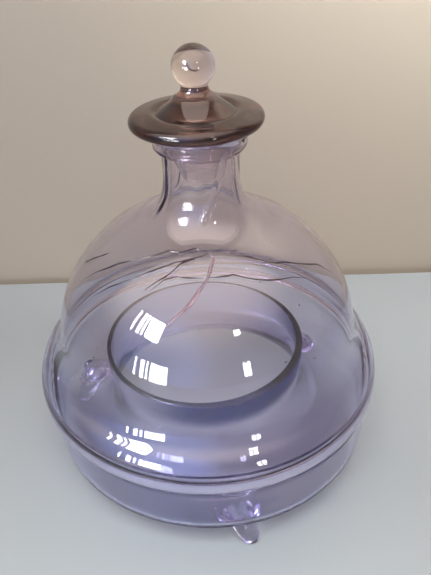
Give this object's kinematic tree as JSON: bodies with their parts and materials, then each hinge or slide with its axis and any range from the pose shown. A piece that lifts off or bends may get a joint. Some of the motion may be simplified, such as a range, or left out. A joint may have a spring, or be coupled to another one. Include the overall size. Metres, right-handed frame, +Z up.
{
  "type": "glass fly trap",
  "caption": "Bell-shaped blown-glass fly trap on drop feet, open below through a central well with a bait trough round it, with a loose hollow stopper.",
  "frame": {"origin": "on the vessel's axis, on the surface that the three feet stand on", "axes": "+Z up along the vessel's axis, towards the stopper; -Y to the front, where one foot stands a little to the right; +X to the right"},
  "size_m": [0.164, 0.164, 0.199],
  "materials": {
    "amethyst_glass": "pale amethyst blown glass, slightly rippled, darker where thick",
    "clear_glass": "almost clear glass with a cool cast, fire-polished",
    "smoky_glass": "smoky pink-brown blown glass, glossy"
  },
  "bodies": {
    "vessel": {"bell": "amethyst_glass", "trough": "amethyst_glass", "neck_collar": "amethyst_glass", "foot_front": "clear_glass", "foot_rear_right": "clear_glass", "foot_rear_left": "clear_glass"},
    "stopper": {"stopper_cap": "smoky_glass", "stopper_knob": "smoky_glass"}
  },
  "joints": [
    {"name": "stopper_lift", "type": "slide", "parent": "vessel", "child": "stopper", "axis": [0, 0, 1], "range_m": [0, 0.05]}
  ]
}
